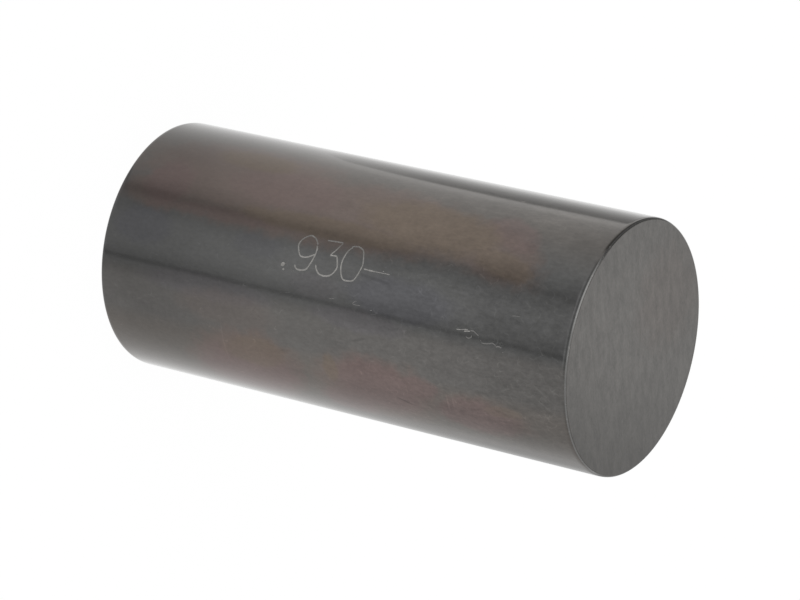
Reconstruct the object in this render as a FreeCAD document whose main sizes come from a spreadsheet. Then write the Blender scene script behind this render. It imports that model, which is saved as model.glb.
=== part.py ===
import FreeCAD, Part
import os
import Sketcher

# A plug pin gauge: one hardened tool-steel pin of a known diameter, made from a single bar.
# Its side is ground to size, its two ends are ground flat and square, and the sharp corner of
# each end is broken by a narrow chamfer, so that the pin enters a hole without cutting it.
# The pin stands on its rest end at Z = 0, with its axis along +Z. Lengths are in millimetres.

GAUGE_DIAMETER = 23.622  # 0.930 inch, the size that the pin checks
GAUGE_LENGTH = 50.8  # 2 inch
REST_END_CHAMFER = 0.3
FREE_END_CHAMFER = 0.3

PARTS_FOLDER = "parts"


def add_dimensions(doc):
    """The sheet of driving dimensions, each in a cell that has its own name."""
    sheet = doc.addObject("Spreadsheet::Sheet", "Dimensions")
    cells = {
        "gaugeDiameter": GAUGE_DIAMETER,
        "gaugeLength": GAUGE_LENGTH,
        "restEndChamfer": REST_END_CHAMFER,
        "freeEndChamfer": FREE_END_CHAMFER,
    }
    for row, (alias, value) in enumerate(cells.items(), start=1):
        sheet.set(f"A{row}", alias)
        sheet.set(f"B{row}", str(value))
        sheet.setAlias(f"B{row}", alias)
    doc.recompute()
    return sheet


def origin_plane(body, role):
    """One of the body's own origin planes, found by its role."""
    return next(plane for plane in body.Origin.OriginFeatures if plane.Role == role)


def add_bar_section(body, sheet):
    """The round section of the bar, with its centre on the sketch's origin."""
    sketch = body.newObject("Sketcher::SketchObject", "BarSection")
    sketch.AttachmentSupport = [(origin_plane(body, "XY_Plane"), "")]
    sketch.MapMode = "FlatFace"
    upward = FreeCAD.Vector(0, 0, 1)
    circle = Part.Circle(FreeCAD.Vector(), upward, sheet.gaugeDiameter / 2)
    outline = sketch.addGeometry(circle, False)
    # Point 3 of a circle is its centre, and point 1 of geometry -1 is the sketch's origin.
    sketch.addConstraint(Sketcher.Constraint("Coincident", outline, 3, -1, 1))
    across = sketch.addConstraint(Sketcher.Constraint("Diameter", outline, sheet.gaugeDiameter))
    sketch.setExpression(f"Constraints[{across}]", "Dimensions.gaugeDiameter")
    return sketch


def add_bar(doc, body, section):
    """The bar itself, as long as the gauge."""
    bar = body.newObject("PartDesign::Pad", "Bar")
    bar.Profile = section
    bar.setExpression("Length", "Dimensions.gaugeLength")
    doc.recompute()
    return bar


def round_corner(feature, lowest_or_highest):
    """The name of the feature's lowest or highest round edge, as min or max picks it."""
    heights = {
        f"Edge{number}": edge.CenterOfMass.z
        for number, edge in enumerate(feature.Shape.Edges, start=1)
        if isinstance(edge.Curve, Part.Circle)
    }
    return lowest_or_highest(heights, key=heights.get)


def break_corner(doc, body, carrier, corner, name, size_alias):
    """A 45 degree chamfer on the round corner of one end."""
    chamfer = body.newObject("PartDesign::Chamfer", name)
    chamfer.Base = (carrier, [corner])
    chamfer.setExpression("Size", f"Dimensions.{size_alias}")
    doc.recompute()
    return chamfer


def make_gauge_pin(doc, sheet):
    """The whole gauge: the bar, with both of its end corners broken."""
    body = doc.addObject("PartDesign::Body", "GaugePin")
    body.Label = "gauge_pin"
    bar = add_bar(doc, body, add_bar_section(body, sheet))
    rest_end = break_corner(
        doc, body, bar, round_corner(bar, min), "RestEndChamfer", "restEndChamfer"
    )
    free_end = break_corner(
        doc, body, rest_end, round_corner(rest_end, max), "FreeEndChamfer", "freeEndChamfer"
    )
    body.Tip = free_end
    body.Placement = FreeCAD.Placement()
    doc.recompute()
    return body


def check_document(doc, pieces):
    """Stops the build if a feature failed, or if a piece isn't one sound solid."""
    for item in doc.Objects:
        if "Invalid" in item.State or "Error" in item.State:
            raise RuntimeError(f"{item.Label} failed to build: {item.State}")
    for piece in pieces:
        shape = piece.Shape
        if shape.isNull() or not shape.isValid() or len(shape.Solids) != 1:
            raise RuntimeError(f"{piece.Label} isn't one sound solid")


def write_parts(pieces):
    """One STEP file for each piece, named after it."""
    os.makedirs(PARTS_FOLDER, exist_ok=True)
    for piece in pieces:
        piece.Shape.exportStep(f"{PARTS_FOLDER}/{piece.Label}.step")
        box = piece.Shape.BoundBox
        print(f"{piece.Label}: {box.XLength:.3f} x {box.YLength:.3f} x {box.ZLength:.3f} mm")


def main():
    doc = FreeCAD.newDocument("PinGauge")
    sheet = add_dimensions(doc)
    pieces = [make_gauge_pin(doc, sheet)]
    check_document(doc, pieces)
    write_parts(pieces)


main()
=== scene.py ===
# %% [markdown]
# # Dressing a pin gauge
# A pin gauge is one hardened steel pin, ground to a known diameter, that slides into a hole to check
# its size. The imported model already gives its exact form. This lesson adds what the eye needs: softly
# broken edges, the size scribed by hand, and a blackened surface with its brown bloom and its wear.
# Everything is in metres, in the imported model's own frame: the pin stands on its end, and Z runs
# along it.

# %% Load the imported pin
import math
import random

import bmesh
import bpy
from mathutils import Matrix, Vector


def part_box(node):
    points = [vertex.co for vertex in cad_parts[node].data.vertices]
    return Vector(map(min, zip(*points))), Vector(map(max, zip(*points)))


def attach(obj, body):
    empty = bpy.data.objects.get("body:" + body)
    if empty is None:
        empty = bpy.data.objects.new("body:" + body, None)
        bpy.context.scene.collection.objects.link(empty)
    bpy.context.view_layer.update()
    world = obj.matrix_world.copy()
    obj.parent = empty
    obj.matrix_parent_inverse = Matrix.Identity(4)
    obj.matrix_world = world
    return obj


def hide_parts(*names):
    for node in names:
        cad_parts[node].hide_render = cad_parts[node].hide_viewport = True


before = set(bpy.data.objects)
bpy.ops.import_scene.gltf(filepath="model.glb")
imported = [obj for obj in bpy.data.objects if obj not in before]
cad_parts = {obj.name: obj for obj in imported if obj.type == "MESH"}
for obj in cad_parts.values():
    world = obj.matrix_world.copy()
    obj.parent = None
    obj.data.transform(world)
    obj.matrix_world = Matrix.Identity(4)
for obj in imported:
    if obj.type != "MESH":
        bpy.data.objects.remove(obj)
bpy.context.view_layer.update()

MM = 0.001
MICRON = 0.001 * MM
pin_low, pin_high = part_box("gauge_pin")
PIN_LENGTH = pin_high.z - pin_low.z
PIN_RADIUS = pin_high.x
print("pin length, mm:", round(PIN_LENGTH / MM, 3), "pin radius, mm:", round(PIN_RADIUS / MM, 3))

# %% [markdown]
# ## Where the camera stands
# A long lens from about a third of a metre keeps the pin's sides almost parallel, the way small tools
# are usually shown. The camera looks down on the standing pin from the front and is rolled over, so
# that the pin lies across the view with its free end at the right. Turning the camera, and not the
# pin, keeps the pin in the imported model's frame.

# %% Set up the camera
def add_object(name, data):
    thing = bpy.data.objects.new(name, data)
    bpy.context.scene.collection.objects.link(thing)
    return thing


CAMERA_IN_FRONT = 0.29604
CAMERA_ABOVE_MIDDLE = 0.18135
AIM_SIDEWAYS = 0.00048
AIM_ABOVE_MIDDLE = 0.00050
CAMERA_ROLL = math.radians(102.88)
LENS_MM = 169.2
SENSOR_WIDTH_MM = 36.0

pin_middle = (pin_low + pin_high) / 2
pin_middle.x = 0.0
pin_middle.y = 0.0
camera_place = pin_middle + Vector((0.0, -CAMERA_IN_FRONT, CAMERA_ABOVE_MIDDLE))
aim = pin_middle + Vector((AIM_SIDEWAYS, 0.0, AIM_ABOVE_MIDDLE))
camera_data = bpy.data.cameras.new("long_lens")
camera_data.lens = LENS_MM
camera_data.sensor_width = SENSOR_WIDTH_MM
camera = add_object("camera", camera_data)
upright = (aim - camera_place).to_track_quat("-Z", "Y").to_matrix()
rolled = upright @ Matrix.Rotation(CAMERA_ROLL, 3, "Z")
camera.matrix_world = Matrix.Translation(camera_place) @ rolled.to_4x4()
bpy.context.scene.camera = camera
print("camera to pin, m:", round((aim - camera_place).length, 3))

# %% [markdown]
# ## Small helpers for node trees
# Shader networks are long when every node takes four lines. These helpers add a node, feed a socket
# with either a link or a plain value, and do one step of arithmetic, so that each recipe below reads
# as a short list of steps. Two more start a node group and place it in a material.

# %% Node helpers
def add_node(tree, kind, **settings):
    node = tree.nodes.new(kind)
    for name, value in settings.items():
        setattr(node, name, value)
    return node


def feed(tree, socket, value):
    if isinstance(value, bpy.types.NodeSocket):
        tree.links.new(value, socket)
    else:
        socket.default_value = value


def calculate(tree, operation, *values):
    node = add_node(tree, "ShaderNodeMath", operation=operation)
    for socket, value in zip(node.inputs, values):
        feed(tree, socket, value)
    return node.outputs["Value"]


def multiply(tree, first, second):
    return calculate(tree, "MULTIPLY", first, second)


def scale_and_add(tree, value, factor, base):
    return calculate(tree, "MULTIPLY_ADD", value, factor, base)


def ease(tree, value, low, high, at_low=0.0, at_high=1.0):
    """Go smoothly from one level to another while the value goes from low to high."""
    node = add_node(tree, "ShaderNodeMapRange", interpolation_type="SMOOTHSTEP")
    feed(tree, node.inputs["Value"], value)
    feed(tree, node.inputs["From Min"], low)
    feed(tree, node.inputs["From Max"], high)
    feed(tree, node.inputs["To Min"], at_low)
    feed(tree, node.inputs["To Max"], at_high)
    return node.outputs["Result"]


def noise(tree, vector, scale, detail=2.0, roughness=0.5):
    node = add_node(tree, "ShaderNodeTexNoise")
    feed(tree, node.inputs["Vector"], vector)
    feed(tree, node.inputs["Scale"], scale)
    feed(tree, node.inputs["Detail"], detail)
    feed(tree, node.inputs["Roughness"], roughness)
    return node.outputs["Fac"]


def change_vector(tree, operation, vector, by):
    node = add_node(tree, "ShaderNodeVectorMath", operation=operation)
    feed(tree, node.inputs[0], vector)
    feed(tree, node.inputs["Scale" if operation == "SCALE" else 1], by)
    return node.outputs[0]


def split_axes(tree, vector):
    node = add_node(tree, "ShaderNodeSeparateXYZ")
    feed(tree, node.inputs[0], vector)
    return node.outputs


def mix_colour(tree, amount, first, second):
    node = add_node(tree, "ShaderNodeMix", data_type="RGBA")
    colour_inputs = [socket for socket in node.inputs if socket.type == "RGBA"]
    feed(tree, node.inputs[0], amount)
    feed(tree, colour_inputs[0], first)
    feed(tree, colour_inputs[1], second)
    return [socket for socket in node.outputs if socket.type == "RGBA"][0]


def show_surface(tree, shader, kind="ShaderNodeOutputMaterial"):
    feed(tree, add_node(tree, kind).inputs["Surface"], shader)


def start_group(name, inputs, outputs):
    group = bpy.data.node_groups.new(name, "ShaderNodeTree")
    for label, kind, value in inputs:
        socket = group.interface.new_socket(label, in_out="INPUT", socket_type=kind)
        socket.default_value = value
    for label, kind in outputs:
        group.interface.new_socket(label, in_out="OUTPUT", socket_type=kind)
    group_in = add_node(group, "NodeGroupInput")
    group_out = add_node(group, "NodeGroupOutput")
    return group, group_in.outputs, group_out.inputs


def use_group(tree, group, **values):
    node = add_node(tree, "ShaderNodeGroup", node_tree=group)
    for name, value in values.items():
        feed(tree, node.inputs[name.replace("_", " ")], value)
    return node.outputs


FLOAT = "NodeSocketFloat"
VECTOR = "NodeSocketVector"
ORIGIN = (0.0, 0.0, 0.0)
print("node helpers ready")

# %% [markdown]
# ## Knowing where we are on the pin
# Marks on a round bar are easiest to place on its unrolled skin: so many millimetres around from the
# front, and so many along from the rest end. One shared group turns the object's coordinates into
# those distances, and every finish below starts from it.

# %% Shared group: place on the pin
place_group, _, place_out = start_group(
    "place_on_pin",
    [],
    [("Position", VECTOR), ("Around", FLOAT), ("Along", FLOAT)],
)
object_place = add_node(place_group, "ShaderNodeTexCoord").outputs["Object"]
in_millimetres = change_vector(place_group, "SCALE", object_place, 1.0 / MM)
axes = split_axes(place_group, in_millimetres)
left = multiply(place_group, axes["X"], -1.0)
front = multiply(place_group, axes["Y"], -1.0)
turn = calculate(place_group, "ARCTAN2", left, front)
feed(place_group, place_out["Position"], in_millimetres)
feed(place_group, place_out["Around"], multiply(place_group, turn, PIN_RADIUS / MM))
feed(place_group, place_out["Along"], axes["Z"])
print("unrolled skin, mm:", round(2 * math.pi * PIN_RADIUS / MM, 1), "around")

# %% [markdown]
# ## Grinding lay
# A grinding wheel leaves hair-fine parallel lines. Around the side they run in rings, and across an
# end they run straight. A noise that is squeezed across the lines and stretched along them gives both,
# so one group serves every ground face, with its own squeeze for each.

# %% Shared group: grinding lay
lay_group, lay_in, lay_out = start_group(
    "grinding_lay",
    [
        ("Position", VECTOR, ORIGIN),
        ("Squeeze", VECTOR, (1.0, 1.0, 1.0)),
        ("Turn", FLOAT, 0.0),
    ],
    [("Height", FLOAT), ("Tone", FLOAT)],
)
turned = add_node(lay_group, "ShaderNodeVectorRotate", rotation_type="Z_AXIS")
feed(lay_group, turned.inputs["Vector"], lay_in["Position"])
feed(lay_group, turned.inputs["Angle"], lay_in["Turn"])
squeezed = change_vector(lay_group, "MULTIPLY", turned.outputs[0], lay_in["Squeeze"])
fine_lines = noise(lay_group, squeezed, scale=2.4, detail=3.0, roughness=0.65)
broad_lines = noise(lay_group, squeezed, scale=0.55, detail=2.0, roughness=0.5)
feed(lay_group, lay_out["Height"], fine_lines)
feed(lay_group, lay_out["Tone"], calculate(lay_group, "ADD", fine_lines, broad_lines))
print("grinding lay group ready")

# %% [markdown]
# ## Patches with ragged edges
# Bloom, stains and rubbed spots are all soft islands with an uneven rim. The group measures how far a
# point is from an oval's middle, in ovals, pushes that distance about with a noise, and fades it out.
# A helper then places one patch in a material, with its middle and its size on the unrolled skin.

# %% Shared group: ragged patch
patch_group, patch_in, patch_out = start_group(
    "ragged_patch",
    [
        ("Around", FLOAT, 0.0),
        ("Along", FLOAT, 0.0),
        ("Position", VECTOR, ORIGIN),
        ("Middle Around", FLOAT, 0.0),
        ("Middle Along", FLOAT, 0.0),
        ("Half Around", FLOAT, 1.0),
        ("Half Along", FLOAT, 1.0),
        ("Softness", FLOAT, 0.5),
        ("Raggedness", FLOAT, 0.5),
        ("Lean", FLOAT, 0.0),
    ],
    [("Mask", FLOAT)],
)


def distance_along(side):
    return calculate(patch_group, "SUBTRACT", patch_in[side], patch_in["Middle " + side])


along_away = distance_along("Along")
around_away = distance_along("Around")
leaned = multiply(patch_group, along_away, patch_in["Lean"])
around_away = calculate(patch_group, "SUBTRACT", around_away, leaned)
along_part = calculate(patch_group, "DIVIDE", along_away, patch_in["Half Along"])
around_part = calculate(patch_group, "DIVIDE", around_away, patch_in["Half Around"])
along_squared = multiply(patch_group, along_part, along_part)
around_squared = multiply(patch_group, around_part, around_part)
oval = calculate(patch_group, "SQRT", calculate(patch_group, "ADD", along_squared, around_squared))
rim_noise = noise(patch_group, patch_in["Position"], scale=0.75, detail=3.0, roughness=0.6)
rim_push = calculate(patch_group, "SUBTRACT", rim_noise, 0.5)
rim_push = multiply(patch_group, rim_push, patch_in["Raggedness"])
pushed = calculate(patch_group, "ADD", oval, rim_push)
solid_part = calculate(patch_group, "SUBTRACT", 1.0, patch_in["Softness"])
feed(patch_group, patch_out["Mask"], ease(patch_group, pushed, solid_part, 1.0, 1.0, 0.0))


def patch_mask(tree, place, middle, half, lean=0.0, softness=0.45, raggedness=0.5):
    """The mask of one patch. Its middle and its half size are (around, along), in millimetres."""
    return use_group(
        tree,
        patch_group,
        Around=place["Around"],
        Along=place["Along"],
        Position=place["Position"],
        Middle_Around=middle[0],
        Middle_Along=middle[1],
        Half_Around=half[0],
        Half_Along=half[1],
        Softness=softness,
        Raggedness=raggedness,
        Lean=lean,
    )["Mask"]


print("ragged patch group ready")

# %% [markdown]
# ## Fine handling scratches
# Pins are slid in and out of holes and rolled about in a tray. The thin curved hairlines this leaves
# are where a smooth noise crosses its middle value. A second, finer noise breaks them into short runs.

# %% Shared group: hairline scratches
RUN_FINENESS = 1.7
RUN_FADE = 0.08
scratch_group, scratch_in, scratch_out = start_group(
    "hairline_scratches",
    [
        ("Position", VECTOR, ORIGIN),
        ("Size", FLOAT, 1.0),
        ("Width", FLOAT, 0.01),
        ("Amount", FLOAT, 0.5),
    ],
    [("Mask", FLOAT)],
)
wander = noise(scratch_group, scratch_in["Position"], scratch_in["Size"], detail=1.0, roughness=0.4)
from_middle = calculate(scratch_group, "ABSOLUTE", calculate(scratch_group, "SUBTRACT", wander, 0.5))
hairline = ease(scratch_group, from_middle, 0.0, scratch_in["Width"], 1.0, 0.0)
run_size = multiply(scratch_group, scratch_in["Size"], RUN_FINENESS)
breaks = noise(scratch_group, scratch_in["Position"], run_size, detail=1.0)
least = calculate(scratch_group, "SUBTRACT", 1.0, scratch_in["Amount"])
kept_runs = ease(scratch_group, breaks, least, calculate(scratch_group, "ADD", least, RUN_FADE))
feed(scratch_group, scratch_out["Mask"], multiply(scratch_group, hairline, kept_runs))
print("hairline scratch group ready")

# %% [markdown]
# ## Mottle
# A blackened skin is never quite even. This group gives a slow cloud, small flecks and a fine grain,
# together as a factor near one, for the colour of every blackened face.

# %% Shared group: mottle
mottle_group, mottle_in, mottle_out = start_group(
    "mottle",
    [
        ("Position", VECTOR, ORIGIN),
        ("Cloud", FLOAT, 0.1),
        ("Fleck", FLOAT, 0.0),
        ("Grain", FLOAT, 0.1),
    ],
    [("Factor", FLOAT)],
)


def mottle_part(strength, scale, detail, roughness):
    level = noise(mottle_group, mottle_in["Position"], scale, detail, roughness)
    return multiply(mottle_group, calculate(mottle_group, "SUBTRACT", level, 0.5), mottle_in[strength])


cloud = mottle_part("Cloud", scale=0.35, detail=3.0, roughness=0.55)
mottled = calculate(mottle_group, "ADD", cloud, 1.0)
flecks = mottle_part("Fleck", scale=1.6, detail=1.0, roughness=0.5)
mottled = calculate(mottle_group, "ADD", mottled, flecks)
grain = mottle_part("Grain", scale=4.0, detail=2.0, roughness=0.6)
mottled = calculate(mottle_group, "ADD", mottled, grain)
feed(mottle_group, mottle_out["Factor"], mottled)
print("mottle group ready")

# %% [markdown]
# ## Starting a steel finish
# All the finishes are steel under an oiled black skin, so they share one start: a metallic Principled
# shader whose base colour is what the metal reflects face on, under a thin clear film of oil. They
# also share the three ways in which a recipe reaches the shader: its colour, roughness and relief.

# %% Start a steel material
OIL_FILM = 0.30
OIL_ROUGHNESS = 0.06


def start_steel(name, oil=OIL_FILM):
    material = bpy.data.materials.new(name)
    material.use_nodes = True
    tree = material.node_tree
    tree.nodes.clear()
    shader = add_node(tree, "ShaderNodeBsdfPrincipled")
    shader.inputs["Metallic"].default_value = 1.0
    shader.inputs["Coat Weight"].default_value = oil
    shader.inputs["Coat Roughness"].default_value = OIL_ROUGHNESS
    show_surface(tree, shader.outputs["BSDF"])
    place = use_group(tree, place_group)
    return material, tree, shader, place


def give_colour(tree, shader, colour, tone):
    toned = change_vector(tree, "SCALE", colour, tone)
    feed(tree, shader.inputs["Base Color"], toned)


def give_roughness(tree, shader, lines, spread, base):
    feed(tree, shader.inputs["Roughness"], scale_and_add(tree, lines, spread, base))


def raise_surface(tree, shader, height, distance):
    bump = add_node(tree, "ShaderNodeBump")
    bump.inputs["Strength"].default_value = 1.0
    bump.inputs["Distance"].default_value = distance
    feed(tree, bump.inputs["Height"], height)
    feed(tree, shader.inputs["Normal"], bump.outputs["Normal"])


print("oil film weight:", OIL_FILM)

# %% [markdown]
# ## The blackened side
# The side is dark grey, a touch warmer away from the front, with islands of brown bloom where the
# black skin is thin. Cool, purple, brown, orange and red islands are listed with their places on the
# unrolled skin, in millimetres, as (around, along, half around, half along, lean, strength).

# %% Blackened side: islands of bloom
NEUTRAL = (0.112, 0.112, 0.1105, 1.0)
WARM_NEUTRAL = (0.1235, 0.1120, 0.1015, 1.0)
COOL_SKIN = (0.1030, 0.1030, 0.1095, 1.0)
PURPLE_SKIN = (0.1160, 0.1110, 0.1145, 1.0)
BROWN_BLOOM = (0.1410, 0.1120, 0.1000, 1.0)
ORANGE_BLOOM = (0.1420, 0.1125, 0.0880, 1.0)
RED_BLOOM = (0.1430, 0.1050, 0.0990, 1.0)

cool_islands = [
    (-0.5, 33.0, 2.4, 7.5, 0.0, 0.9),
    (1.2, 4.0, 2.4, 4.0, 0.0, 0.8),
    (1.6, 17.0, 1.6, 3.5, 0.0, 0.5),
]
purple_islands = [
    (-3.3, 12.0, 1.5, 9.0, 0.0, 0.8),
    (-3.2, 29.0, 1.3, 6.5, 0.0, 0.8),
    (-1.0, 24.0, 1.4, 3.5, 0.0, 0.5),
]
brown_islands = [
    (8.2, 12.0, 5.6, 14.0, 0.02, 0.95),
    (6.9, 28.0, 4.5, 13.0, -0.03, 0.95),
    (4.9, 20.0, 2.9, 25.0, 0.0, 0.85),
    (4.6, 5.0, 2.2, 6.5, 0.0, 0.85),
    (5.9, 40.0, 3.5, 7.5, -0.24, 0.9),
    (-11.0, 15.8, 5.6, 8.2, 0.12, 0.95),
    (-10.2, 30.2, 4.7, 8.6, 0.05, 0.9),
    (-10.2, 41.6, 2.9, 6.2, 0.02, 0.85),
    (-5.0, 14.5, 2.2, 7.0, 0.0, 0.32),
    (22.5, 18.0, 5.5, 14.0, 0.1, 0.8),
    (31.0, 38.0, 4.5, 10.0, 0.0, 0.75),
    (-27.0, 35.0, 6.0, 12.0, 0.0, 0.8),
    (-22.0, 12.0, 5.0, 9.0, 0.1, 0.75),
]
orange_islands = [
    (6.9, 33.5, 3.2, 9.5, -0.05, 0.85),
    (4.5, 24.0, 1.3, 13.0, 0.0, 0.8),
    (10.4, 12.5, 1.6, 5.5, 0.0, 0.75),
    (4.7, 42.0, 1.6, 4.2, -0.2, 0.75),
    (-8.9, 17.2, 2.1, 4.4, 0.1, 0.62),
    (-8.6, 25.7, 1.9, 1.0, 0.0, 0.7),
    (-8.9, 44.0, 0.8, 2.6, 0.1, 0.4),
    (24.0, 18.0, 3.0, 8.0, 0.1, 0.7),
    (-27.0, 36.0, 4.0, 6.0, 0.0, 0.65),
]
red_islands = [
    (7.6, 17.5, 2.9, 7.5, 0.0, 0.5),
    (5.6, 5.0, 3.2, 3.2, 0.0, 0.8),
    (8.0, 41.6, 2.2, 3.6, -0.25, 0.6),
    (3.6, 12.0, 0.8, 9.0, 0.0, 0.45),
    (-11.6, 16.0, 4.2, 7.2, 0.15, 0.9),
    (-9.6, 30.5, 3.8, 6.0, 0.0, 0.9),
    (-10.3, 41.0, 2.5, 5.2, 0.04, 0.85),
    (-8.4, 35.2, 1.5, 2.8, 0.0, 0.8),
    (-12.6, 26.8, 2.4, 3.8, 0.1, 0.8),
    (30.0, 36.0, 3.5, 7.0, 0.0, 0.6),
]


def islands_mask(tree, place, islands):
    together = 0.0
    for around, along, half_around, half_along, lean, strength in islands:
        mask = patch_mask(tree, place, (around, along), (half_around, half_along), lean)
        together = calculate(tree, "MAXIMUM", together, multiply(tree, mask, strength))
    return together


side_steel, tree, shader, place = start_steel("blackened_side")
warm_low = ease(tree, place["Around"], -9.0, -5.5, 1.0, 0.0)
warm_middle = ease(tree, place["Around"], -3.6, -2.4, 0.42, 0.0)
warm_below = calculate(tree, "MAXIMUM", warm_low, warm_middle)
warm_above = ease(tree, place["Around"], 4.0, 9.5, 0.0, 0.8)
warmth = calculate(tree, "MAXIMUM", warm_below, warm_above)
bloomed = mix_colour(tree, warmth, NEUTRAL, WARM_NEUTRAL)
for islands, bloom in (
    (cool_islands, COOL_SKIN),
    (purple_islands, PURPLE_SKIN),
    (brown_islands, BROWN_BLOOM),
    (red_islands, RED_BLOOM),
    (orange_islands, ORANGE_BLOOM),
):
    bloomed = mix_colour(tree, islands_mask(tree, place, islands), bloomed, bloom)
print("islands of brown, red and orange:", len(brown_islands + red_islands + orange_islands))

# %% [markdown]
# The skin is also a little darker towards both ends, where it was dipped and held, and has a few
# single marks: pale rubbed rings, thin pale scratches near the free end, dark spots, and short dark
# nicks. One long dark line just under the dash is a painted shadow. All of them scale the colour.

# %% Blackened side: darker ends and single marks
single_marks = [
    # around, along, half around, half along, lean, darker (-) or paler (+)
    (-8.6, 13.8, 3.2, 0.1, 0.0, 0.14),
    (-9.5, 38.2, 1.3, 0.14, 0.0, 0.24),
    (-9.2, 38.8, 0.8, 0.12, 0.0, 0.2),
    (-9.0, 33.9, 1.1, 0.08, 0.0, 0.1),
    (-7.8, 20.8, 0.25, 0.75, 0.1, -0.14),
    (-10.5, 33.3, 0.13, 1.1, -0.3, -0.42),
    (13.4, 35.9, 0.16, 0.5, 0.0, -0.4),
    (-6.8, 3.0, 0.9, 1.6, 0.0, 0.1),
    (7.4, 24.0, 1.0, 1.3, 0.0, -0.05),
    # painted shadow: a long thin dark line just under the scribed dash
    (0.85, 30.0, 0.22, 2.6, -0.09, -0.2),
    (-0.05, 45.3, 0.3, 0.5, 0.4, -0.14),
    (-0.4, 44.6, 0.9, 4.4, 0.0, -0.11),
    (3.05, 44.6, 1.0, 4.0, 0.0, 0.09),
    (5.9, 45.0, 1.6, 3.8, 0.0, -0.07),
    (-5.8, 48.3, 0.1, 1.6, -0.73, 0.16),
    (-7.1, 48.6, 0.1, 1.2, -0.67, 0.14),
    (-4.6, 46.8, 0.1, 1.3, -0.6, 0.11),
    (-6.3, 46.4, 0.1, 1.3, -0.45, 0.11),
    (-7.0, 0.8, 6.5, 2.4, 0.0, 0.12),
    (-12.5, 9.5, 3.0, 4.0, 0.0, -0.05),
    (10.0, 5.5, 2.8, 4.4, 0.0, -0.08),
    (0.6, 49.4, 1.7, 1.3, 0.0, -0.08),
    (-5.6, 3.4, 0.22, 0.6, 0.2, 0.11),
    (-5.9, 4.6, 0.12, 0.5, 0.3, 0.13),
    (-5.2, 1.9, 0.15, 0.3, -0.5, 0.12),
    (0.1, 45.8, 0.1, 0.5, -0.7, 0.14),
    (-4.9, 29.2, 0.18, 1.1, 0.35, -0.16),
    (11.2, 46.5, 0.35, 0.55, 0.0, -0.13),
    (8.8, 43.7, 0.4, 0.5, 0.5, -0.13),
    (10.5, 43.3, 0.3, 0.2, -3.0, 0.1),
    (10.1, 45.6, 0.35, 0.22, -3.0, 0.1),
    (11.0, 46.5, 2.7, 9.5, 0.0, 0.14),
    (12.5, 43.0, 0.9, 14.0, 0.0, 0.06),
]

MARK_SOFTNESS = 0.7
rest_end_level = ease(tree, place["Around"], -13.0, -8.0, 0.84, 0.70)
to_rest_end = ease(tree, place["Along"], 1.0, 23.0, rest_end_level, 1.0)
to_free_end = ease(tree, place["Along"], 33.0, 52.0, 1.0, 0.82)
tone = multiply(tree, to_rest_end, to_free_end)
for around, along, half_around, half_along, lean, change in single_marks:
    half = (half_around, half_along)
    mark = patch_mask(tree, place, (around, along), half, lean, softness=MARK_SOFTNESS)
    tone = multiply(tree, tone, scale_and_add(tree, mark, change, 1.0))
print("single marks:", len(single_marks))

# %% [markdown]
# Last come the fine things that cover the whole side: the grinding rings, the mottle, and hairlines.
# The free end has been handled more, so its mottle is coarser and its hairlines are denser. They
# change the tone a little, the roughness more, and raise the surface by about a micron.

# %% Blackened side: rings, mottle and hairlines
def towards_free_end(at_rest_end, at_free_end):
    return ease(tree, place["Along"], 14.0, 46.0, at_rest_end, at_free_end)


stretched = change_vector(tree, "MULTIPLY", place["Position"], (1.0, 1.0, 0.5))
side_lay = use_group(tree, lay_group, Position=place["Position"], Squeeze=(0.06, 0.06, 7.0))
less_above = ease(tree, place["Around"], 1.0, 7.0, 1.0, 0.72)
side_mottle = use_group(
    tree,
    mottle_group,
    Position=stretched,
    Cloud=towards_free_end(0.25, 0.36),
    Fleck=towards_free_end(0.10, 0.34),
    Grain=multiply(tree, towards_free_end(0.34, 0.62), less_above),
)["Factor"]
handled = ease(tree, place["Along"], 20.0, 46.0, 0.42, 0.56)
handled = multiply(tree, handled, ease(tree, place["Around"], 2.0, 6.0, 1.0, 0.6))
hairlines = use_group(
    tree,
    scratch_group,
    Position=place["Position"],
    Size=0.75,
    Width=0.013,
    Amount=handled,
)["Mask"]
tone = multiply(tree, tone, side_mottle)
tone = multiply(tree, tone, scale_and_add(tree, side_lay["Tone"], 0.05, 0.95))
tone = multiply(tree, tone, scale_and_add(tree, hairlines, 0.26, 1.0))
give_colour(tree, shader, bloomed, tone)
side_roughness = scale_and_add(tree, side_lay["Tone"], 0.04, 0.075)
give_roughness(tree, shader, hairlines, spread=0.10, base=side_roughness)
side_height = scale_and_add(tree, hairlines, -0.5, side_lay["Height"])
raise_surface(tree, shader, side_height, 1.2 * MICRON)
print("blackened side ready")

# %% [markdown]
# ## The blackened ends
# The ends are ground straight across, so their lay is a set of short, nearly parallel streaks, and
# they scatter light more than the side. One corner of the free end has a faint warm bloom. Each end
# is also painted darker towards one side, as painted shade.

# %% Blackened ends
END_LAY_TURN = math.radians(-33.0)
END_OIL = 0.2
END_SKIN = (0.1155, 0.1105, 0.1040, 1.0)
END_BLOOM = (0.1190, 0.1030, 0.0935, 1.0)
# painted shade: each end is darkened across its face, most towards +X, a little towards -X and +Y
painted_end_shading = [
    # axis, start, stop, level at start, level at stop
    ("X", 0.0, 12.5, 1.0, 0.64),
    ("X", -12.0, -3.0, 0.93, 1.0),
    ("Y", -2.0, 9.0, 1.0, 0.91),
]
end_steel, tree, shader, place = start_steel("blackened_end", oil=END_OIL)
position = place["Position"]
end_lay = use_group(tree, lay_group, Position=position, Squeeze=(1.1, 2.9, 1.1), Turn=END_LAY_TURN)
end_mottle = use_group(tree, mottle_group, Position=position, Cloud=0.20, Fleck=0.14, Grain=0.20)
end_hairlines = use_group(tree, scratch_group, Position=position, Size=0.5, Width=0.008, Amount=0.45)
end_axes = split_axes(tree, position)
across_end = {"Around": end_axes["X"], "Along": end_axes["Y"], "Position": position}
warm_corner = patch_mask(tree, across_end, (-5.2, 4.0), (6.5, 7.5), softness=0.6, raggedness=0.8)
end_colour = mix_colour(tree, multiply(tree, warm_corner, 0.5), END_SKIN, END_BLOOM)
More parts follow.
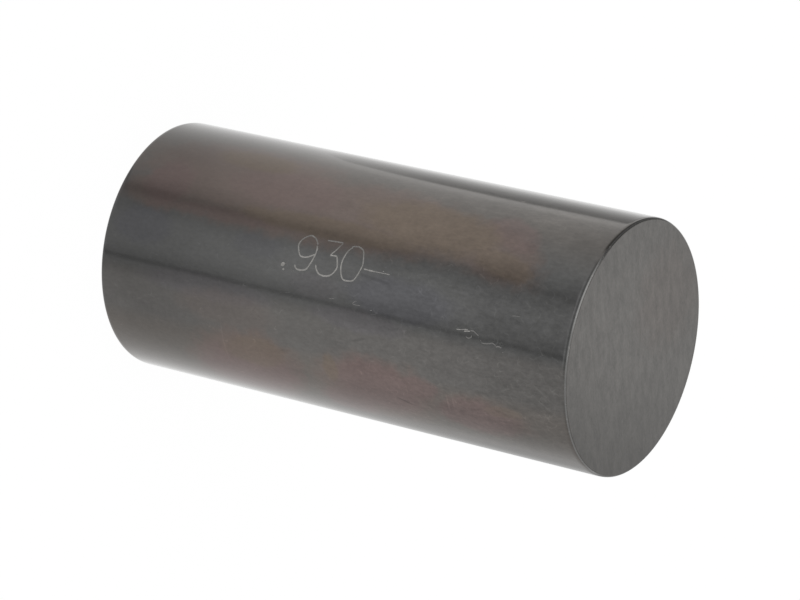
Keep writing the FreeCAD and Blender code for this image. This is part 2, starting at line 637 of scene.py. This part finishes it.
end_tone = multiply(tree, end_mottle["Factor"], scale_and_add(tree, end_lay["Tone"], 0.72, 0.28))
# painted shade: the end's colour is scaled down across its face, axis by axis
for axis, start, stop, at_start, at_stop in painted_end_shading:
    shade = ease(tree, end_axes[axis], start, stop, at_start, at_stop)
    end_tone = multiply(tree, end_tone, shade)
end_tone = multiply(tree, end_tone, scale_and_add(tree, end_hairlines["Mask"], 0.12, 1.0))
give_colour(tree, shader, end_colour, end_tone)
give_roughness(tree, shader, end_lay["Tone"], spread=0.10, base=0.22)
raise_surface(tree, shader, end_lay["Height"], 4 * MICRON)
print("blackened ends ready")

# %% [markdown]
# ## The broken edges
# The edges are stoned by hand after grinding: the same skin, a little rougher, with thin rubbed
# spots. On the free end, one run of the edge is painted paler than the rest, as a painted highlight.

# %% Broken edges
EDGE_SKIN = (0.165, 0.163, 0.160, 1.0)
EDGE_RUBBED = (0.215, 0.212, 0.206, 1.0)
# painted highlight: the place and size of the paler run on the free end's edge
HIGHLIGHT_RUN_MIDDLE = (3.0, PIN_LENGTH / MM)
HIGHLIGHT_RUN_HALF = (3.4, 1.0)
edge_steel, tree, shader, place = start_steel("broken_edge")
position = place["Position"]
edge_mottle = use_group(tree, mottle_group, Position=position, Cloud=0.45, Grain=0.30)["Factor"]
edge_rub = use_group(tree, scratch_group, Position=position, Size=1.3, Width=0.05, Amount=0.5)["Mask"]
edge_colour = mix_colour(tree, edge_rub, EDGE_SKIN, EDGE_RUBBED)
# painted highlight: this run of the free end's edge is painted paler, where light catches it
painted_highlight_run = patch_mask(tree, place, HIGHLIGHT_RUN_MIDDLE, HIGHLIGHT_RUN_HALF, softness=0.7, raggedness=0.4)
edge_tone = multiply(tree, edge_mottle, scale_and_add(tree, painted_highlight_run, 0.55, 1.0))
give_colour(tree, shader, edge_colour, edge_tone)
give_roughness(tree, shader, edge_rub, spread=0.15, base=0.17)
raise_surface(tree, shader, edge_mottle, 2 * MICRON)
print("broken edges ready")

# %% [markdown]
# ## Bare steel in the cuts
# The scribed lines and the knocks go through the skin to bare steel, which is paler and matt, and has
# no oil film. The knocks are duller than the scribed lines. The hand pressed less on the upper part
# of the number, so the steel shows less there.

# %% Scribed lines and knocks
SCRIBED_COLOUR = (0.345, 0.337, 0.322)
KNOCKED_COLOUR = (0.205, 0.200, 0.195)


def make_bare_steel(name, colour):
    material, tree, shader, place = start_steel(name, oil=0.0)
    position = place["Position"]
    bare_mottle = use_group(tree, mottle_group, Position=position, Cloud=0.5, Grain=0.9)["Factor"]
    bare_lay = use_group(tree, lay_group, Position=position, Squeeze=(3.0, 3.0, 3.0))
    lighter_hand = ease(tree, place["Around"], 1.8, 3.4, 1.0, 0.62)
    give_colour(tree, shader, colour, multiply(tree, bare_mottle, lighter_hand))
    give_roughness(tree, shader, bare_lay["Height"], spread=0.2, base=0.3)
    raise_surface(tree, shader, bare_lay["Height"], 4 * MICRON)
    return material


scribed_steel = make_bare_steel("scribed_bare_steel", SCRIBED_COLOUR)
knocked_steel = make_bare_steel("knocked_bare_steel", KNOCKED_COLOUR)
finishes_in_order = (side_steel, end_steel, edge_steel, scribed_steel, knocked_steel)
print("bare steel in the cuts ready")

# %% [markdown]
# ## Turning the pin
# A turned bar is a profile spun about its axis. The profile runs from the middle of the rest end out
# to its edge, up the side, and back in over the free end. A hand stone breaks each edge in a few
# strokes, so the side first leans in gently, then turns more tightly, runs nearly straight for a
# moment, and rounds over into the end. Those slopes catch the thin bright and dark lines that say
# "metal". Each entry of EDGE_TURNS is a turn in degrees, and the run in millimetres that it takes.

# %% The pin's profile
EDGE_TURNS = [(12.0, 0.30), (26.0, 0.12), (10.0, 0.10), (42.0, 0.12)]
EDGE_STEPS = 6
SKIN_STOPS = math.radians(38.0)
END_STARTS = math.radians(50.0)
SIDE, END, EDGE, SCRIBED, KNOCKED = range(5)


def broken_edge():
    """Points of a broken edge from the side inwards, as (step in, run along, lean of the surface)."""
    inward = 0.0
    along = 0.0
    lean = 0.0
    points = [(inward, along, lean)]
    for turn_degrees, run in EDGE_TURNS:
        turn = math.radians(turn_degrees) / EDGE_STEPS
        for _ in range(EDGE_STEPS):
            inward += math.sin(lean + turn / 2) * run * MM / EDGE_STEPS
            along += math.cos(lean + turn / 2) * run * MM / EDGE_STEPS
            lean += turn
            points.append((inward, along, lean))
    return points


def end_profile():
    points = [(PIN_RADIUS * part, 0.0, 0.0) for part in (0.0, 0.3, 0.6, 0.85)]
    edge_points = broken_edge()
    reach = edge_points[-1][1]
    for inward, along, lean in reversed(edge_points):
        points.append((PIN_RADIUS - inward, reach - along, math.pi / 2 - lean))
    return points


rest_profile = [(out, inward, -math.pi / 2 + angle) for out, inward, angle in end_profile()]
free_profile = [(out, PIN_LENGTH - inward, math.pi / 2 - angle) for out, inward, angle in end_profile()]
free_profile.reverse()
SIDE_RINGS = 56
side_start = rest_profile[-1][1]
side_stop = free_profile[0][1]
side_profile = []
for ring in range(1, SIDE_RINGS):
    height = side_start + (side_stop - side_start) * ring / SIDE_RINGS
    side_profile.append((PIN_RADIUS, height, 0.0))
profile = rest_profile + side_profile + free_profile
print("profile points:", len(profile))

# %% [markdown]
# Now the profile is spun. Each ring has the same number of points, the two middles are single points,
# and each band of faces is told which finish it takes from how far it leans.

# %% Spin the profile
AROUND = 360


def lay_rings(points):
    vertices = []
    rings = []
    for out, height, _ in points:
        ring = []
        for step in range(AROUND if out > 0.0 else 1):
            angle = 2 * math.pi * step / AROUND
            ring.append(len(vertices))
            vertices.append((out * math.cos(angle), out * math.sin(angle), height))
        rings.append(ring)
    return vertices, rings


def join_rings(lower, upper):
    faces = []
    for step in range(AROUND):
        following = (step + 1) % AROUND
        if len(lower) == 1:
            faces.append((lower[0], upper[following], upper[step]))
        elif len(upper) == 1:
            faces.append((lower[step], lower[following], upper[0]))
        else:
            faces.append((lower[step], lower[following], upper[following], upper[step]))
    return faces


def band_finish(leans):
    if max(leans) < SKIN_STOPS:
        return SIDE
    if min(leans) > END_STARTS:
        return END
    return EDGE


vertices, rings = lay_rings(profile)
faces = []
finishes = []
for index in range(len(profile) - 1):
    band = join_rings(rings[index], rings[index + 1])
    faces += band
    leans = (abs(profile[index][2]), abs(profile[index + 1][2]))
    finishes += [band_finish(leans)] * len(band)
print("rings:", len(rings), "faces:", len(faces))

# %% Make the pin's object
pin_mesh = bpy.data.meshes.new("dressed_pin")
pin_mesh.from_pydata(vertices, [], faces)
for material in finishes_in_order:
    pin_mesh.materials.append(material)
pin_mesh.polygons.foreach_set("material_index", finishes)
pin = add_object("dressed_pin", pin_mesh)
print("finishes on the pin:", [material.name for material in finishes_in_order])

# %% [markdown]
# ## Scribing the size
# The size is scratched on by hand, in thin wavering strokes. A painted line would look flat when the
# light moves, so each stroke is a real groove: a thin round tool is drawn along the stroke, just
# under the skin, and cut away from the pin. Strokes are lists of (along, around) points, in
# millimetres on the unrolled skin, and a smooth curve is drawn through them.

# %% The strokes of the number
number_strokes = {
    "point": (0.25, [(20.0, 0.21), (20.2, 0.35), (20.4, 0.45)]),
    "point_slip": (0.12, [(20.22, -0.1), (20.34, -0.09), (20.46, -0.07)]),
    "nine_bowl": (0.098, [
        (23.19, 2.77), (22.89, 3.17), (22.24, 3.47), (21.57, 3.1), (21.24, 2.42), (21.64, 1.54),
        (22.07, 1.38), (22.59, 1.48), (23.21, 1.83),
    ]),
    "nine_stem": (0.098, [
        (23.14, 2.69), (23.27, 2.31), (23.24, 1.73), (23.12, 1.22), (22.89, 0.63), (22.64, 0.29),
        (22.16, 0.17), (21.69, 0.21), (21.41, 0.53),
    ]),
    "three_top": (0.085, [(24.01, 3.35), (24.84, 3.41), (25.72, 3.44)]),
    "three_slant": (0.085, [(25.68, 3.39), (25.24, 2.65), (24.81, 2.09)]),
    "three_bowl": (0.098, [
        (24.8, 2.06), (25.14, 2.1), (25.52, 2.05), (25.78, 1.49), (25.87, 1.07), (25.7, 0.65),
        (25.32, 0.27), (24.74, 0.12), (24.16, 0.21), (23.82, 0.52), (23.6, 0.94),
    ]),
    "zero_left": (0.098, [
        (26.84, 3.22), (26.52, 2.87), (26.26, 2.07), (26.24, 1.4), (26.41, 0.77), (26.7, 0.27),
        (27.04, 0.14), (27.54, 0.18),
    ]),
    "zero_right": (0.092, [
        (26.7, 3.27), (27.04, 3.35), (27.44, 3.39), (27.97, 3.15), (28.24, 2.57), (28.41, 1.9),
        (28.34, 1.39), (28.14, 0.77), (27.87, 0.31), (27.5, 0.17),
    ]),
    "dash": (0.084, [(28.64, 1.52), (29.14, 1.51), (29.84, 1.5)]),
    "dash_tail": (0.045, [(29.74, 1.5), (30.54, 1.52), (31.44, 1.53)]),
    "dash_speck": (0.07, [(30.66, 1.71), (30.74, 1.65)]),
}
print("number strokes:", len(number_strokes))

# %% [markdown]
# The pin also has a few small knocks of its own: a ploughed scuff near the free end, with a trail
# beside it, and some short scratches. They are cut in the same way, only shallower.

# %% The strokes of the knocks
knock_strokes = {
    "scuff_ridge": (0.055, [(39.33, -1.86), (39.83, -1.8), (40.23, -1.7), (40.53, -1.69)]),
    "scuff_heart": (0.09, [(40.13, -1.88), (40.48, -1.81), (40.78, -1.77)]),
    "scuff_hook": (0.085, [(40.38, -2.32), (40.68, -2.4), (40.93, -2.27), (40.98, -2.1)]),
    "scuff_tail": (0.090, [(40.78, -1.7), (41.08, -1.7), (41.38, -1.84), (41.68, -2.0)]),
    "trail_start": (0.06, [(41.93, -2.3), (42.01, -2.44)]),
    "trail_body": (0.075, [
        (42.03, -2.54), (42.43, -2.55), (42.78, -2.48), (43.23, -2.38), (43.53, -2.54),
    ]),
    "trail_smear": (0.11, [(43.53, -2.62), (43.83, -2.54), (44.13, -2.6)]),
    "trail_speck": (0.08, [(44.23, -2.97), (44.38, -2.95)]),
    "slip_scratch": (0.055, [(44.6, 0.36), (45.0, 0.42), (45.4, 0.46)]),
    "short_scratch_low": (0.05, [(27.1, -0.36), (27.45, -0.30)]),
    "tick": (0.055, [(28.65, -1.42), (28.42, -1.55), (28.3, -1.74), (28.75, -1.78), (29.1, -1.74)]),
    "tick_speck": (0.06, [(30.2, -1.98), (30.4, -1.94)]),
    "faint_scratch": (0.05, [(25.7, -1.78), (26.3, -1.66)]),
    "foot_scratch_first": (0.04, [(20.92, 0.12), (21.02, -0.12)]),
    "foot_scratch_next": (0.04, [(21.15, 0.10), (21.26, -0.16)]),
    "foot_scratch_last": (0.04, [(21.38, 0.08), (21.46, -0.14)]),
}
bright_knocks = ("scuff_ridge", "scuff_heart")
print("knock strokes:", len(knock_strokes))

# %% [markdown]
# A hand doesn't stop at each listed point, so the tool follows a smooth curve through them all. A
# Catmull-Rom curve passes through its points and needs no handles, which keeps the lists short.

# %% Draw a smooth curve through a stroke
STEP_ALONG_STROKE = 0.05
LEAST_STEPS = 4


def smooth_stroke(points):
    """A Catmull-Rom curve through the points, sampled about every STEP_ALONG_STROKE millimetres."""
    padded = [Vector(point) for point in points]
    padded.insert(0, padded[0] * 2 - padded[1])
    padded.append(padded[-1] * 2 - padded[-2])
    curve = []
    for before, start, stop, after in zip(padded, padded[1:], padded[2:], padded[3:]):
        steps = max(LEAST_STEPS, round((stop - start).length / STEP_ALONG_STROKE))
        first = stop - before
        second = 2 * before - 5 * start + 4 * stop - after
        third = 3 * start - before - 3 * stop + after
        for step in range(steps):
            part = step / steps
            curve.append(0.5 * (2 * start + first * part + second * part**2 + third * part**3))
    curve.append(padded[-2])
    return curve


print("step along a stroke, mm:", STEP_ALONG_STROKE)

# %% [markdown]
# The tool of a stroke is a thin round rod, bent along the curve and wrapped onto the pin. Its middle
# rides a little above the skin, so that only its belly cuts. It is pointed at both tips, and a slow
# waver in its depth stands for the uneven pressure of a hand.

# %% Make the cutting tool of a stroke
TOOL_SIDES = 14
CUT_DEPTH = 0.30
KNOCK_DEPTH = 0.5
LEAST_FULLNESS = 0.02
PRESSURE_SWING = 0.18
PRESSURE_STEP = 0.45
LATEST_START = 6.0
random.seed(930)


def wrap(along, around, out):
    angle = around * MM / PIN_RADIUS
    return Vector((-math.sin(angle) * out, -math.cos(angle) * out, along * MM))


def ring_of_tool(curve, index, tool_radius, depth_share, phase):
    """The ring of the rod at one place of its curve. It is thinner near both tips."""
    here = curve[index]
    direction = curve[min(index + 1, len(curve) - 1)] - curve[max(index - 1, 0)]
    ends = min((here - curve[0]).length, (here - curve[-1]).length) / tool_radius
    fullness = math.sqrt(max(LEAST_FULLNESS, 1.0 - max(0.0, 1.0 - ends) ** 2))
    pressure = 1.0 + PRESSURE_SWING * math.sin(phase + index * PRESSURE_STEP)
    radius = tool_radius * MM
    depth = radius * depth_share
    centre = wrap(here.x, here.y, PIN_RADIUS + radius * fullness - depth * pressure * fullness)
    outward = wrap(0.0, here.y, 1.0).normalized()
    round_the_pin = Vector((outward.y, -outward.x, 0.0))
    forward = (Vector((0.0, 0.0, 1.0)) * direction.x + round_the_pin * direction.y).normalized()
    across = forward.cross(outward).normalized()
    ring = []
    for side in range(TOOL_SIDES):
        angle = 2 * math.pi * side / TOOL_SIDES
        spoke = math.cos(angle) * outward + math.sin(angle) * across
        ring.append(tuple(centre + radius * fullness * spoke))
    return ring


def faces_of_tool(ring_count):
    last = (ring_count - 1) * TOOL_SIDES
    tool_faces = [tuple(range(TOOL_SIDES)), tuple(last + side for side in reversed(range(TOOL_SIDES)))]
    for low in range(0, last, TOOL_SIDES):
        high = low + TOOL_SIDES
        for side in range(TOOL_SIDES):
            following = (side + 1) % TOOL_SIDES
            tool_faces.append((low + side, high + side, high + following, low + following))
    return tool_faces


def cutting_tool(name, tool_radius, points, depth_share, finish):
    curve = smooth_stroke(points)
    phase = random.random() * LATEST_START
    tool_vertices = []
    for index in range(len(curve)):
        tool_vertices += ring_of_tool(curve, index, tool_radius, depth_share, phase)
    mesh = bpy.data.meshes.new(name)
    mesh.from_pydata(tool_vertices, [], faces_of_tool(len(curve)))
    for material in finishes_in_order:
        mesh.materials.append(material)
    mesh.polygons.foreach_set("material_index", [finish] * len(mesh.polygons))
    return add_object(name, mesh)


tools = []
for name, (tool_radius, points) in number_strokes.items():
    tools.append(cutting_tool("tool_" + name, tool_radius, points, CUT_DEPTH, SCRIBED))
for name, (tool_radius, points) in knock_strokes.items():
    finish = SCRIBED if name in bright_knocks else KNOCKED
    tools.append(cutting_tool("tool_" + name, tool_radius, points, CUT_DEPTH * KNOCK_DEPTH, finish))
print("cutting tools:", len(tools))

# %% [markdown]
# Each tool is taken away from the pin with an exact Boolean, as a real graver takes the steel away.
# The new faces keep the finish of the tool that cut them. Then the tools go back in the drawer.

# %% Cut the grooves
for tool in tools:
    shape = bmesh.new()
    shape.from_mesh(tool.data)
    bmesh.ops.recalc_face_normals(shape, faces=shape.faces)
    shape.to_mesh(tool.data)
    shape.free()
    cut = pin.modifiers.new(tool.name, "BOOLEAN")
    cut.operation = "DIFFERENCE"
    cut.solver = "EXACT"
    cut.object = tool
graph = bpy.context.evaluated_depsgraph_get()
cut_mesh = bpy.data.meshes.new_from_object(pin.evaluated_get(graph))
pin.modifiers.clear()
pin.data = cut_mesh
for tool in tools:
    bpy.data.objects.remove(tool)
grooved = [face for face in cut_mesh.polygons if face.material_index >= SCRIBED]
print("pin faces after cutting:", len(cut_mesh.polygons), "in grooves:", len(grooved))

# %% [markdown]
# ## Exact shading
# Blender averages the directions of neighbouring faces, and that would smear the light across the
# thin edge breaks and round every groove. The pin's true directions are known from its profile, so
# they are set corner by corner. Inside a groove, they are averaged over the groove's own faces only.

# %% Find the true direction of a point
PLACES_PER_METRE = 1e7
lean_by_place = {}
for out, height, lean in profile:
    lean_by_place[(round(out * PLACES_PER_METRE), round(height * PLACES_PER_METRE))] = lean


def nearest_lean(out, height):
    """The lean of the profile point that is nearest, with places counted in tenths of a micron."""
    out_place = out * PLACES_PER_METRE
    height_place = height * PLACES_PER_METRE

    def distance(place):
        return abs(place[0] - out_place) + abs(place[1] - height_place)

    return lean_by_place[min(lean_by_place, key=distance)]


def true_direction(point, finish):
    out = math.hypot(point.x, point.y)
    if finish == SIDE and side_start < point.z < side_stop:
        return Vector((point.x, point.y, 0.0)).normalized()
    lean = nearest_lean(out, point.z)
    if out == 0.0:
        return Vector((0.0, 0.0, math.copysign(1.0, lean)))
    level = math.cos(lean) / out
    return Vector((point.x * level, point.y * level, math.sin(lean)))


print("places on the profile:", len(lean_by_place))

# %% Set the surface directions
groove_direction = {}
for face in grooved:
    for vertex in face.vertices:
        groove_direction[vertex] = groove_direction.get(vertex, Vector()) + face.normal * face.area
known = {}
directions = []
for face in cut_mesh.polygons:
    for vertex in face.vertices:
        if face.material_index >= SCRIBED:
            directions.append(groove_direction[vertex].normalized())
            continue
        key = (vertex, face.material_index)
        if key not in known:
            known[key] = true_direction(cut_mesh.vertices[vertex].co, face.material_index)
        directions.append(known[key])
cut_mesh.polygons.foreach_set("use_smooth", [True] * len(cut_mesh.polygons))
cut_mesh.normals_split_custom_set(directions)
print("surface directions set:", len(directions))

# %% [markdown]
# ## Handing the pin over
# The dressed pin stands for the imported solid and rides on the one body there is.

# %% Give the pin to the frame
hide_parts("gauge_pin")
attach(pin, "root")
print("the dressed pin stands for gauge_pin")

# %% [markdown]
# ## The room
# Polished steel looks like what is around it. The pin stands in a white tent, and a few grey cards
# give its side the bands that show it is round. The tent is the world's colour, seen by the camera and
# by reflections. Each card is a darker span of directions, in degrees: its turn from the front, half its
# width, the width of its soft edge, how low it starts, how high it ends, and the softness of those two
# ends. Its lean turns it a little more for each degree that it rises above LEAN_FROM. The last number
# says how much darker than the tent it is.

# %% The white tent and its cards
world = bpy.data.worlds.new("white_tent")
world.use_nodes = True
bpy.context.scene.world = world
tree = world.node_tree
tree.nodes.clear()
cards = {
    # turn, half width, soft edge, lowest, highest, soft rise, lean, darker
    "front_card": (5.0, 20.0, 10.0, -90.0, -23.0, 1.5, 0.0, 0.09),
    "front_card_low_rim": (-21.5, 3.0, 16.0, -90.0, -23.0, 1.5, 0.6, 0.24),
    "front_card_low_fold": (-22.0, 0.4, 3.2, -90.0, -23.0, 1.5, 0.0, 0.36),
    "front_card_high_rim": (33.5, 3.5, 23.0, -90.0, -23.0, 1.5, -1.1, 0.25),
    "front_card_high_fold": (34.5, 0.5, 8.0, -90.0, -23.0, 1.5, -1.8, 0.24),
    "low_right_card": (-135.0, 30.0, 25.0, -32.5, -12.0, 2.5, 0.0, 0.17),
    "low_back_card": (-160.0, 8.0, 18.0, -31.0, -12.0, 2.5, 0.0, 0.27),
    "horizon_card": (15.0, 41.0, 18.0, -12.0, 20.0, 5.0, 0.0, 0.39),
    "left_card": (118.0, 36.0, 10.0, -16.0, 49.0, 6.0, 0.0, 0.72),
    "high_left_card": (132.0, 16.0, 16.0, 40.0, 80.0, 6.0, 0.0, 0.62),
    "right_card": (-98.0, 30.0, 12.0, -14.0, 20.0, 5.0, 0.0, 0.16),
    "high_right_card": (-105.0, 45.0, 25.0, 20.0, 70.0, 6.0, 0.0, 0.12),
    "back_card": (-160.0, 10.0, 8.0, -22.0, 10.0, 3.0, 0.0, 0.50),
}
LEAN_FROM = -31.0
direction = split_axes(tree, add_node(tree, "ShaderNodeTexCoord").outputs["Generated"])
left = multiply(tree, direction["X"], -1.0)
front = multiply(tree, direction["Y"], -1.0)
turn = calculate(tree, "DEGREES", calculate(tree, "ARCTAN2", left, front))
rise = calculate(tree, "DEGREES", calculate(tree, "ARCSINE", direction["Z"]))
tent_level = 1.0
risen = calculate(tree, "SUBTRACT", rise, LEAN_FROM)
for middle, half_width, soft, lowest, highest, soft_rise, lean, darker in cards.values():
    away = calculate(tree, "SUBTRACT", turn, scale_and_add(tree, risen, lean, middle))
    away = calculate(tree, "ABSOLUTE", calculate(tree, "WRAP", away, 180.0, -180.0))
    beside = ease(tree, away, half_width, half_width + soft, 1.0, 0.0)
    above = ease(tree, rise, lowest - soft_rise, lowest + soft_rise)
    below = ease(tree, rise, highest - soft_rise, highest + soft_rise, 1.0, 0.0)
    seen = multiply(tree, beside, multiply(tree, above, below))
    tent_level = multiply(tree, tent_level, scale_and_add(tree, seen, -darker, 1.0))
print("cards:", len(cards))

# %% [markdown]
# The camera sees a plain white background at strength one, reflections see the tent with its cards,
# and everything else is lit by an even white a little below one.

# %% Which ray sees what
TENT_LIGHT = 0.80
rays = add_node(tree, "ShaderNodeLightPath").outputs
reflected = calculate(tree, "MAXIMUM", rays["Is Glossy Ray"], rays["Is Transmission Ray"])
above_light = calculate(tree, "SUBTRACT", tent_level, TENT_LIGHT)
level = scale_and_add(tree, above_light, reflected, TENT_LIGHT)
level = calculate(tree, "MAXIMUM", level, rays["Is Camera Ray"])
tent = add_node(tree, "ShaderNodeBackground")
tent.inputs["Color"].default_value = (1.0, 1.0, 1.0, 1.0)
feed(tree, tent.inputs["Strength"], level)
show_surface(tree, tent.outputs["Background"], "ShaderNodeOutputWorld")
print("tent light:", TENT_LIGHT)

# %% [markdown]
# The floor is a pale sheet. To the camera it is nearly all plain white, with a small share of lit
# white that keeps the pin's soft shadow. Reflections look through it to the tent, which carries on
# below the pin as a white sweep does.

# %% The floor
FLOOR_HALF = 1.5
FLOOR_WHITE_SHARE = 0.98
PAPER_COLOUR = (0.92, 0.92, 0.92, 1.0)


def start_paper(name):
    paper = bpy.data.materials.new(name)
    paper.use_nodes = True
    paper.node_tree.nodes.clear()
    return paper, paper.node_tree


floor_mesh = bpy.data.meshes.new("floor")
corners = []
for x, y in ((-1, -1), (1, -1), (1, 1), (-1, 1)):
    corners.append((x * FLOOR_HALF, y * FLOOR_HALF, pin_low.z))
floor_mesh.from_pydata(corners, [], [(0, 1, 2, 3)])
floor = add_object("floor", floor_mesh)
floor.visible_glossy = False
floor_paper, tree = start_paper("floor_paper")
lit_paper = add_node(tree, "ShaderNodeBsdfDiffuse")
lit_paper.inputs["Color"].default_value = PAPER_COLOUR
plain_white = add_node(tree, "ShaderNodeEmission")
plain_white.inputs["Strength"].default_value = 1.0
rays = add_node(tree, "ShaderNodeLightPath").outputs
paper_mix = add_node(tree, "ShaderNodeMixShader")
feed(tree, paper_mix.inputs[0], multiply(tree, rays["Is Camera Ray"], FLOOR_WHITE_SHARE))
feed(tree, paper_mix.inputs[1], lit_paper.outputs[0])
feed(tree, paper_mix.inputs[2], plain_white.outputs[0])
show_surface(tree, paper_mix.outputs[0])
floor_mesh.materials.append(floor_paper)
print("floor half width, m:", FLOOR_HALF)

# %% [markdown]
# One small grey card lies on the sheet behind the pin, with a shiny front lip. Only the side's grazing
# band shows it. It is placed as a studio hand would do it, by sighting from the camera over the pin's
# side down to the sheet. Each column is a sighting: (along the pin, turn at which the card's front edge
# shows, how dark the card is there). Each row is so many degrees further, with its share of the dark.

# %% Sight the card over the pin
sightings = [
    (16.5, 74.0, 0.0), (20.0, 67.0, 0.24), (24.0, 65.0, 0.34), (31.0, 63.1, 0.52),
    (40.0, 62.3, 0.56), (50.0, 62.6, 0.54), (60.0, 62.6, 0.5),
]
card_rows = [
    (-6.0, 0.0), (-4.0, -0.17), (-1.0, -0.17), (0.3, 1.0),
    (4.5, 0.8), (8.5, 0.54), (12.0, 0.28), (15.5, 0.0),
]
STEEPEST_TURN = 82.0
CARD_THICKNESS = 0.3 * MM


def sight_on_sheet(along, turn_degrees):
    turn = math.radians(turn_degrees)
    surface = Vector((-math.sin(turn), -math.cos(turn), 0.0))
    place = surface * PIN_RADIUS + Vector((0.0, 0.0, pin_low.z + along * MM))
    bounced = (place - camera_place).reflect(surface)
    return place + bounced * ((pin_low.z + CARD_THICKNESS - place.z) / bounced.z)


card_points = []
card_greys = []
for further, share in card_rows:
    for along, front_edge, darkness in sightings:
        card_points.append(sight_on_sheet(along, min(front_edge + further, STEEPEST_TURN)))
        card_greys.append(1.0 - darkness * share)
print("grey card points:", len(card_points))

# %% Lay the card on the sheet
columns = len(sightings)
card_faces = []
for row in range(len(card_rows) - 1):
    for column in range(columns - 1):
        first = row * columns + column
        card_faces.append((first, first + 1, first + columns + 1, first + columns))
card_mesh = bpy.data.meshes.new("grey_card")
card_mesh.from_pydata(card_points, [], card_faces)
grey_levels = card_mesh.attributes.new("grey_level", "FLOAT", "POINT")
grey_levels.data.foreach_set("value", card_greys)
card = add_object("grey_card", card_mesh)
card.visible_camera = False
card.visible_diffuse = False
card.visible_shadow = False
card_paper, tree = start_paper("grey_card_paper")
card_level = add_node(tree, "ShaderNodeAttribute", attribute_name="grey_level")
card_grey = add_node(tree, "ShaderNodeEmission")
feed(tree, card_grey.inputs["Strength"], card_level.outputs["Fac"])
show_surface(tree, card_grey.outputs[0])
card_mesh.materials.append(card_paper)
print("grey card faces:", len(card_faces))

# %% [markdown]
# ## The lamps
# Three big soft lamps stand round the pin: a key in front, a weaker fill at the right, and one behind.
# They are low, so that a colour renders about as it is written, and reflections don't show them.

# %% Soft lamps
LAMP_SIZE = 0.9
lamps = {
    "key_softbox": ((-0.5, -0.6, 1.1), 6.0),
    "fill_softbox": ((0.8, -0.3, 0.8), 3.0),
    "back_softbox": ((0.1, 0.9, 0.9), 3.0),
}
for name, (place_m, power) in lamps.items():
    lamp_data = bpy.data.lights.new(name, "AREA")
    lamp_data.shape = "SQUARE"
    lamp_data.size = LAMP_SIZE
    lamp_data.energy = power
    lamp = add_object(name, lamp_data)
    lamp.location = place_m
    lamp.rotation_euler = (pin_middle - Vector(place_m)).to_track_quat("-Z", "Y").to_euler()
    lamp.visible_glossy = False
print("lamps:", len(lamps))

# %% [markdown]
# ## Closing the lesson
# Colours are shown plainly, as they are written.

# %% Finish
bpy.context.scene.view_settings.view_transform = "Standard"
bpy.context.view_layer.update()
